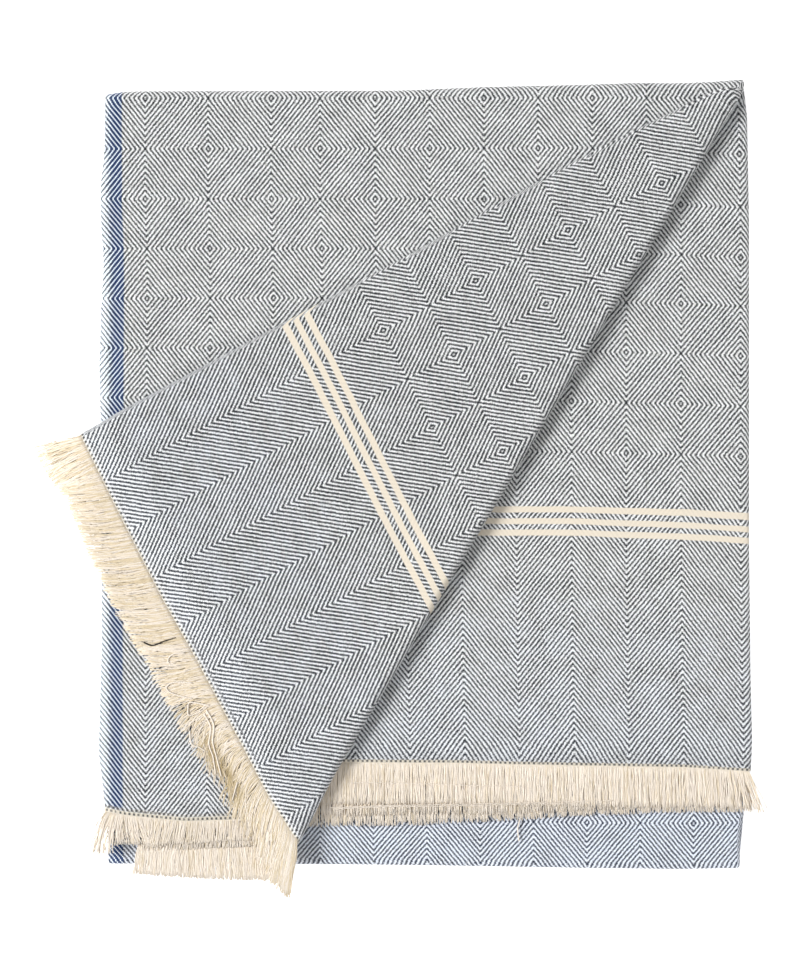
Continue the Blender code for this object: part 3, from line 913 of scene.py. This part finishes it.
    # Thread relief
    warp_ridge = net.math("ABSOLUTE", net.math("SINE", net.times(ends, math.pi)))
    weft_ridge = net.math("ABSOLUTE", net.math("SINE", net.times(picks, math.pi)))
    relief = net.blend(dark, warp_ridge, weft_ridge)
    crumple = net.noise(net.times(ends, 0.03), net.times(picks, 0.035), 1.0, 4.0)
    relief = net.math("ADD", net.times(relief, 0.12), net.times(crumple, 0.5))
    net.bump(relief, 0.6, 0.0012)
    fuzz = net.noise(ends, picks, 0.7, 2.0)
    net.put(net.shader.inputs["Roughness"], net.blend(fuzz, 0.82, 0.98))
    net.shader.inputs["Specular IOR Level"].default_value = 0.2
    net.shader.inputs["Sheen Weight"].default_value = 0.15
    net.shader.inputs["Sheen Roughness"].default_value = 0.6
    return net.material


SHADED_HOLLOW_NUMBER = 2.0         # added to the number of a yarn whose middle is painted khaki as shade of the hollow in the tangle
GAP_SHADOW_NUMBER = 4.0            # number of the dark yarn laid as painted shadow in the gap between two locks


def fringe_material():
    net = NodeNet("khes_fringe_yarn")
    number, along = net.map_axes("yarn")
    # Painted shadow: the dark yarn over the gap between two locks
    is_gap_shadow = net.math("GREATER_THAN", number, GAP_SHADOW_NUMBER - 0.5)
    in_shaded_hollow = net.math("GREATER_THAN", number, SHADED_HOLLOW_NUMBER - 0.5)
    # Painted shade: yarns in the hollow of the tangle darken to khaki along their middle
    hollow_shade = net.times(net.step(along, 0.38, 0.6), net.minus(1.0, net.step(along, 0.75, 1.0)))
    hollow_shade = net.times(in_shaded_hollow, hollow_shade)
    number = net.minus(number, net.times(in_shaded_hollow, SHADED_HOLLOW_NUMBER))
    tone = net.noise(net.times(number, 900.0), net.times(along, 3.0), 1.0, 1.0)
    tone = net.times_add(net.minus(tone, 0.5), 0.9, number)
    base = net.mix(net.step(tone, 0.1, 0.8), FRINGE_SHADE, FRINGE_CREAM)
    base = net.mix(net.times(hollow_shade, 0.7), base, PAINTED_HOLLOW_SHADE)
    net.put(net.shader.inputs["Base Color"], net.mix(is_gap_shadow, base, PAINTED_GAP_SHADOW))
    twist = net.math("SINE", net.times_add(along, 240.0, net.times(number, 50.0)))
    net.bump(twist, 0.4, 0.0003)
    net.put(net.shader.inputs["Roughness"], net.blend(tone, 0.85, 0.97))
    net.shader.inputs["Specular IOR Level"].default_value = 0.2
    net.shader.inputs["Sheen Weight"].default_value = 0.2
    net.shader.inputs["Sheen Roughness"].default_value = 0.6
    return net.material


# Fringes: CAD node, panel end, ply, first x, last x, yarns, steps, sides of a yarn, up direction, lift
FRINGES = (
    ("fringe_front_upper", "front", "lower", 253.0, -90.0, 1250, 8, 5, 1.0, 0.2),
    ("fringe_front_middle", "front", "hidden", -248.0, 248.0, 1150, 6, 4, 1.0, 0.9),
    ("fringe_front_lowest", "front", "top", -250.0, 252.0, 1500, 6, 4, 1.0, 1.7),
    ("fringe_left_upper", "back", "top", -253.5, -112.0, 520, 9, 5, 1.0, 0.2),
    ("fringe_left_middle", "back", "hidden", -225.0, -116.0, 200, 6, 4, 1.0, 0.9),
    ("fringe_left_lower", "back", "lower", -110.0, -228.0, 760, 8, 5, 1.0, 2.6),
    ("fringe_corner_upper", "back", "lower", 253.5, -95.0, 1350, 11, 5, -1.0, 0.2),
    ("fringe_corner_middle", "back", "hidden", -70.0, 246.0, 700, 8, 4, -1.0, 0.8),
    ("fringe_corner_lowest", "back", "top", -64.0, 252.0, 800, 9, 4, -1.0, 1.5),
)

# Yarns along each hem: x, length, angle at the root, angle at the tip, looseness (degrees)
FRINGE_SHAPES = {
    "fringe_front_upper": ((-90.0, 33.5, 0.0, -2.0, 2.2), (90.0, 33.0, 0.0, 2.0, 2.2),
                           (180.0, 32.5, 0.0, 2.0, 2.4), (232.0, 31.0, 2.0, 4.0, 3.0),
                           (248.0, 31.0, 8.0, 12.0, 6.0), (254.0, 37.0, 30.0, 18.0, 10.0)),
    "fringe_front_middle": ((-90.0, 52.0, 0.0, 0.0, 2.5), (60.0, 47.0, 0.0, 2.0, 2.5),
                            (254.0, 33.0, 3.0, 3.0, 4.0)),
    "fringe_front_lowest": ((-90.0, 61.0, 0.0, 0.0, 2.5), (-20.0, 60.0, 0.0, 0.0, 2.5),
                            (30.0, 56.0, 0.0, 3.0, 2.5), (112.0, 48.5, 0.0, 3.0, 2.5),
                            (180.0, 40.0, 0.0, 3.0, 3.0), (254.0, 33.5, 4.0, 4.0, 5.0)),
    "fringe_left_upper": ((-254.0, 36.0, -36.0, -8.0, 8.0), (-246.0, 34.0, -28.0, -8.0, 8.0),
                          (-242.0, 23.0, -6.0, 16.0, 9.0), (-228.0, 24.0, 8.0, 22.0, 9.0),
                          (-214.0, 24.0, -6.0, -14.0, 7.0), (-195.0, 19.0, -6.0, -12.0, 5.0),
                          (-150.0, 17.5, -2.0, -4.0, 5.0), (-110.0, 18.0, 0.0, 4.0, 5.0)),
    "fringe_left_middle": ((-254.0, 22.0, -6.0, -10.0, 5.0), (-200.0, 12.0, -6.0, -10.0, 5.0),
                           (-118.0, 8.0, 0.0, 0.0, 5.0)),
    "fringe_left_lower": ((-230.0, 24.0, -16.0, -4.0, 7.0), (-190.0, 27.0, -6.0, 4.0, 6.0),
                          (-150.0, 29.0, -2.0, 8.0, 6.0), (-110.0, 29.0, 0.0, 0.0, 6.0)),
    "fringe_corner_upper": ((-95.0, 47.0, -55.0, -57.0, 3.5), (-80.0, 48.0, -50.0, -56.0, 4.5),
                            (-62.0, 44.0, -38.0, -56.0, 6.0), (-40.0, 41.0, -12.0, -66.0, 12.0),
                            (-14.0, 40.0, 14.0, -84.0, 18.0),
                            (14.0, 39.0, 26.0, -58.0, 20.0), (34.0, 39.0, 24.0, 0.0, 14.0),
                            (60.0, 40.0, 18.0, 28.0, 6.0), (110.0, 41.0, 14.0, 30.0, 4.0),
                            (170.0, 39.0, 14.0, 30.0, 4.0), (206.0, 36.0, 16.0, 32.0, 5.0),
                            (222.0, 36.0, 10.0, 8.0, 8.0), (244.0, 40.0, 3.0, -1.0, 5.0),
                            (254.0, 42.0, 15.0, 14.0, 4.0)),
    "fringe_corner_middle": ((-80.0, 46.0, -50.0, -54.0, 5.0), (-30.0, 36.0, 0.0, -60.0, 9.0),
                             (40.0, 36.0, 12.0, 10.0, 7.0), (254.0, 34.0, 12.0, 14.0, 6.0)),
    "fringe_corner_lowest": ((-80.0, 50.0, -48.0, -52.0, 5.0), (-30.0, 40.0, 0.0, -30.0, 9.0),
                             (40.0, 40.0, 10.0, 10.0, 8.0), (254.0, 35.0, 10.0, 14.0, 6.0)),
}

# Loose yarns that lie over the fringes: fringe, height, number, crimp, places on the stack
# The crimped ones are the last picks of a lower hem
LOOSE_YARNS = (
    ("fringe_front_upper", 16.6, 0.95, 0.45, ((-58.0, -238.5), (-10.0, -239.2), (30.0, -240.5),
                                             (75.0, -241.5))),
    ("fringe_front_upper", 16.6, 0.95, 0.5, ((-74.0, -258.3), (-35.0, -256.8), (4.0, -256.0), (74.0, -254.4),
                                            (147.0, -252.5))),
    ("fringe_front_upper", 16.4, 0.9, 0.6, ((-72.0, -259.3), (-30.0, -257.6), (10.0, -257.2), (76.0, -255.4),
                                           (120.0, -254.5))),
    ("fringe_front_lowest", 12.0, 0.8, 0.0, ((77.0, -230.0), (75.5, -262.0), (73.0, -275.0), (74.0, -285.0))),
    ("fringe_corner_upper", 27.4, 0.95, 0.0, ((-187.6, -136.3), (-196.1, -137.0), (-200.6, -140.9),
                                              (-199.4, -144.8), (-194.8, -143.6))),
    ("fringe_corner_upper", 27.4, 0.9, 0.0, ((-181.8, -159.8), (-196.1, -159.2), (-202.0, -163.0),
                                             (-199.4, -166.9), (-192.2, -169.5), (-181.8, -172.1))),
    ("fringe_corner_upper", 27.5, 0.95, 0.0, ((-168.8, -177.3), (-183.1, -174.8), (-185.0, -178.6),
                                              (-184.4, -185.1), (-176.6, -182.5), (-170.1, -178.6))),
    ("fringe_corner_upper", 27.4, 0.95, 0.0, ((-172.7, -183.8), (-167.5, -194.2), (-168.8, -207.2),
                                              (-165.6, -217.6), (-163.6, -230.7))),
    ("fringe_corner_upper", 27.4, 0.9, 0.0, ((-170.9, -180.7), (-165.0, -192.5), (-165.8, -205.8),
                                             (-162.7, -218.3), (-159.2, -232.5))),
    ("fringe_corner_upper", 27.3, 0.85, 0.0, ((-183.8, -196.9), (-182.4, -207.2), (-176.6, -209.8),
                                              (-171.7, -212.9))),
    ("fringe_corner_upper", 27.4, 0.95, 0.0, ((-146.7, -237.2), (-148.6, -244.2), (-150.6, -251.4))),
    # A dark yarn of painted shadow where a gap lies between two locks
    ("fringe_corner_upper", 27.2, 4.0, 0.0, ((-219.8, -127.9), (-213.8, -130.4), (-209.3, -129.4),
                                             (-204.2, -127.2), (-194.6, -124.3))),
)
LOOSE_STEP = 1.6            # millimetres between the points of a loose yarn
LOOSE_THICKNESS = 1.5
CRIMPED_THICKNESS = 0.75    # shares of a fringe yarn's radius
YARN_RADIUS = 0.46
LOWER_YARN_RADIUS = 0.62
YARN_STACK = 1.5            # depth of the pile of yarns above its ply
CORNER_TUFT_ZONE = (-95.5, -78.0)       # roots of further yarns at the tip of the turned-back corner
CORNER_TUFT_YARNS = 170
SHADED_HOLLOW_ZONE = (-36.0, 8.0)  # roots of the turned-back yarns that get painted shade of the hollow in the tangle along their middle
ROOT_SINK = 0.5


def loose_path(knots, crimp):
    """Points of a smooth curve through the knots, as sideways and outward distances."""
    last = len(knots) - 1
    points = []
    for index in range(last):
        near = [np.array(knots[min(max(index + shift, 0), last)]) for shift in (-1, 0, 1, 2)]
        count = max(3, round(float(np.linalg.norm(near[2] - near[1])) / LOOSE_STEP))
        for step in range(count):
            part = step / count
            place = near[1] + 0.5 * part * (near[2] - near[0] + part * (
                2.0 * near[0] - 5.0 * near[1] + 4.0 * near[2] - near[3] + part * (
                    3.0 * (near[1] - near[2]) + near[3] - near[0])))
            crimped = crimp * math.sin(place[0] * 1.3) * math.sin(place[0] * 0.31)
            points.append((place[0], -place[1] + crimped))
    points.append((knots[-1][0], -knots[-1][1]))
    return points


def yarn_points(name, x, steps, length_share):
    """Sideways and outward distances along one yarn."""
    shapes = FRINGE_SHAPES[name]
    length = table_value(shapes, x, 1) * length_share
    root_angle = table_value(shapes, x, 2)
    tip_angle = table_value(shapes, x, 3)
    looseness = table_value(shapes, x, 4)
    lock = math.sin(x * 1.37) * 0.5 + math.sin(x * 0.61 + 1.0) * 0.5
    lock += math.sin(x * 0.173 + 2.0) * 0.6
    own = random_source.gauss(0.0, looseness * 0.6)
    bend = random_source.gauss(0.0, looseness * 1.3)
    ripple = random_source.uniform(3.0, 9.0)
    swing = random_source.uniform(0.0, 2.0 * math.pi)
    points = [(0.0, -ROOT_SINK)]
    side, out = 0.0, -ROOT_SINK
    for step in range(1, steps + 1):
        part = step / steps
        angle = root_angle + (tip_angle - root_angle) * part
        angle += (own + looseness * 0.8 * lock) * min(part * 3.0, 1.0)
        angle += bend * (part - 0.4) + ripple * math.sin(part * 9.0 + swing)
        stride = length / steps
        side += stride * math.sin(math.radians(angle))
        out += stride * math.cos(math.radians(angle))
        points.append((side, out))
    return points


def add_yarn(build, yarn_map, path, root, base_z, lift, up, sides, on_top, number, thickness=1.0):
    """One closed yarn; the four-sided ones lie underneath and are thicker."""
    steps = len(path) - 1
    rings = []
    for step, (side, out) in enumerate(path):
        part = step / steps
        before = path[max(step - 1, 0)]
        after = path[min(step + 1, steps)]
        along_x, along_y = after[0] - before[0], before[1] - after[1]
        reach = math.hypot(along_x, along_y) or 1.0
        cross_x, cross_y = -along_y / reach, along_x / reach
        radius = (YARN_RADIUS if sides == 5 else LOWER_YARN_RADIUS) * (1.0 - 0.3 * part) * thickness
        height = base_z + up * lift * smooth_share(part * 5.0) * (1.0 - 0.3 * part)
        ring = []
        for corner in range(sides):
            angle = 2.0 * math.pi * (corner + 0.5) / sides
            across = radius * math.cos(angle)
            ring.append(build.verts.new(rest_point(
                root[0] + side + across * cross_x, root[1] - out + across * cross_y,
                height + radius * math.sin(angle), on_top, "flap" if up < 0.0 else "flat")))
        rings.append(ring)
    for step in range(steps):
        for corner in range(sides):
            following = (corner + 1) % sides
            face = build.faces.new((rings[step][corner], rings[step][following],
                                    rings[step + 1][following], rings[step + 1][corner]))
            face.smooth = True
            for loop, place in zip(face.loops, (step, step, step + 1, step + 1)):
                loop[yarn_map].uv = (number, place / steps)
    for cap, part in ((rings[0], 0.0), (rings[-1], 1.0)):
        face = build.faces.new(cap)
        for loop in face.loops:
            loop[yarn_map].uv = (number, part)


def build_fringe(name, end, ply, first_x, last_x, yarns, steps, sides, up, rise, material):
    offsets = {"top": PLY_PITCH, "lower": -PLY_PITCH, "hidden": 0.0}
    on_top = end == "back"
    hem_rows = TOP_PANEL_HEMS[ply] if on_top else SECOND_PANEL_HEMS[ply]
    base_z = BACK_END_Z + offsets[ply] if on_top else FRONT_END_Z - offsets[ply]
    build = bmesh.new()
    yarn_map = build.loops.layers.uv.new("yarn")
    in_corner = name == "fringe_corner_upper"
    places = [first_x + (last_x - first_x) * (index + random_source.random()) / yarns
              for index in range(yarns)]
    if in_corner:
        places += [random_source.uniform(*CORNER_TUFT_ZONE) for _ in range(CORNER_TUFT_YARNS)]
    for x in places:
        hem = table_value(hem_rows, x, 1)
        root = plan_point(x, hem, 1.0 if on_top else 0.0)
        if not on_top:
            root = (root[0], hem)
        length_share = random_source.uniform(0.92, 1.02)
        lift = rise + random_source.uniform(0.0, YARN_STACK * 0.6)
        path = yarn_points(name, x, steps, length_share)
        number = random_source.uniform(0.4, 1.0)
        if in_corner:
            number = random_source.uniform(0.0, 1.0)
        # These yarns get painted shade of the hollow along their middle
        if in_corner and SHADED_HOLLOW_ZONE[0] < x < SHADED_HOLLOW_ZONE[1]:
            number += SHADED_HOLLOW_NUMBER
        add_yarn(build, yarn_map, path, root, base_z, lift, up, sides, on_top, number)
    for fringe, height, number, crimp, knots in LOOSE_YARNS:
        if fringe == name:
            thickness = CRIMPED_THICKNESS if crimp > 0.0 else LOOSE_THICKNESS
            add_yarn(build, yarn_map, loose_path(knots, crimp), (0.0, 0.0), height, 0.0, 1.0, 5, False,
                     number, thickness)
    bmesh.ops.recalc_face_normals(build, faces=build.faces[:])
    data = bpy.data.meshes.new("yarns_" + name)
    build.to_mesh(data)
    build.free()
    data.materials.append(material)
    yarn_piece = bpy.data.objects.new("yarns_" + name, data)
    bpy.context.scene.collection.objects.link(yarn_piece)
    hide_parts(name)
    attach(yarn_piece, "root")
    return yarn_piece


cloth = build_cloth(cloth_material())
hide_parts("cloth")
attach(cloth, "root")
yarn_material = fringe_material()
fringes = [build_fringe(*row, yarn_material) for row in FRINGES]

# Pale floor
FLOOR_HALF = 4.0
FLOOR_Z = -0.0002
FLOOR_GLOW = 0.6
floor_corners = [(x * FLOOR_HALF, y * FLOOR_HALF, FLOOR_Z) for x, y in ((-1, -1), (1, -1), (1, 1), (-1, 1))]
floor_mesh = bpy.data.meshes.new("studio_floor")
floor_mesh.from_pydata(floor_corners, [], [(0, 1, 2, 3)])
floor = bpy.data.objects.new("studio_floor", floor_mesh)
bpy.context.scene.collection.objects.link(floor)
floor_material = bpy.data.materials.new("studio_floor")
floor_material.use_nodes = True
floor_shader = floor_material.node_tree.nodes["Principled BSDF"]
floor_shader.inputs["Base Color"].default_value = (0.95, 0.95, 0.95, 1.0)
floor_shader.inputs["Roughness"].default_value = 0.9
floor_shader.inputs["Emission Color"].default_value = (1.0, 1.0, 1.0, 1.0)
floor_shader.inputs["Emission Strength"].default_value = FLOOR_GLOW
floor_mesh.materials.append(floor_material)

# Light: name, place, size, power
LIGHTS = (
    ("key", (-6.6, 0.6, 5.4), 3.0, 815.0),
    ("fill", (1.1, -1.3, 1.7), 1.4, 10.0),
)
SKY_STRENGTH = 0.43
world = bpy.data.worlds.new("studio")
world.use_nodes = True
world.node_tree.nodes["Background"].inputs["Color"].default_value = (1.0, 1.0, 1.0, 1.0)
world.node_tree.nodes["Background"].inputs["Strength"].default_value = SKY_STRENGTH
bpy.context.scene.world = world
for light_name, place, size, power in LIGHTS:
    lamp_data = bpy.data.lights.new(light_name, "AREA")
    lamp_data.size = size
    lamp_data.energy = power
    lamp = bpy.data.objects.new(light_name, lamp_data)
    lamp.location = place
    lamp.rotation_euler = (Vector((0.0, 0.0, 0.0)) - Vector(place)).to_track_quat("-Z", "Y").to_euler()
    bpy.context.scene.collection.objects.link(lamp)

# Camera straight above, long lens
CAMERA_HEIGHT = 2.4
VIEW_WIDTH = 0.6272
VIEW_PLANE_Z = 0.018
VIEW_MIDDLE = (0.0019, -0.0024)
SENSOR_WIDTH = 36.0
camera_data = bpy.data.cameras.new("camera")
camera_data.sensor_fit = "HORIZONTAL"
camera_data.sensor_width = SENSOR_WIDTH
camera_data.lens = SENSOR_WIDTH * (CAMERA_HEIGHT - VIEW_PLANE_Z) / VIEW_WIDTH
camera = bpy.data.objects.new("camera", camera_data)
camera.location = (*VIEW_MIDDLE, CAMERA_HEIGHT)
bpy.context.scene.collection.objects.link(camera)
bpy.context.scene.camera = camera
bpy.context.scene.view_settings.view_transform = "Standard"
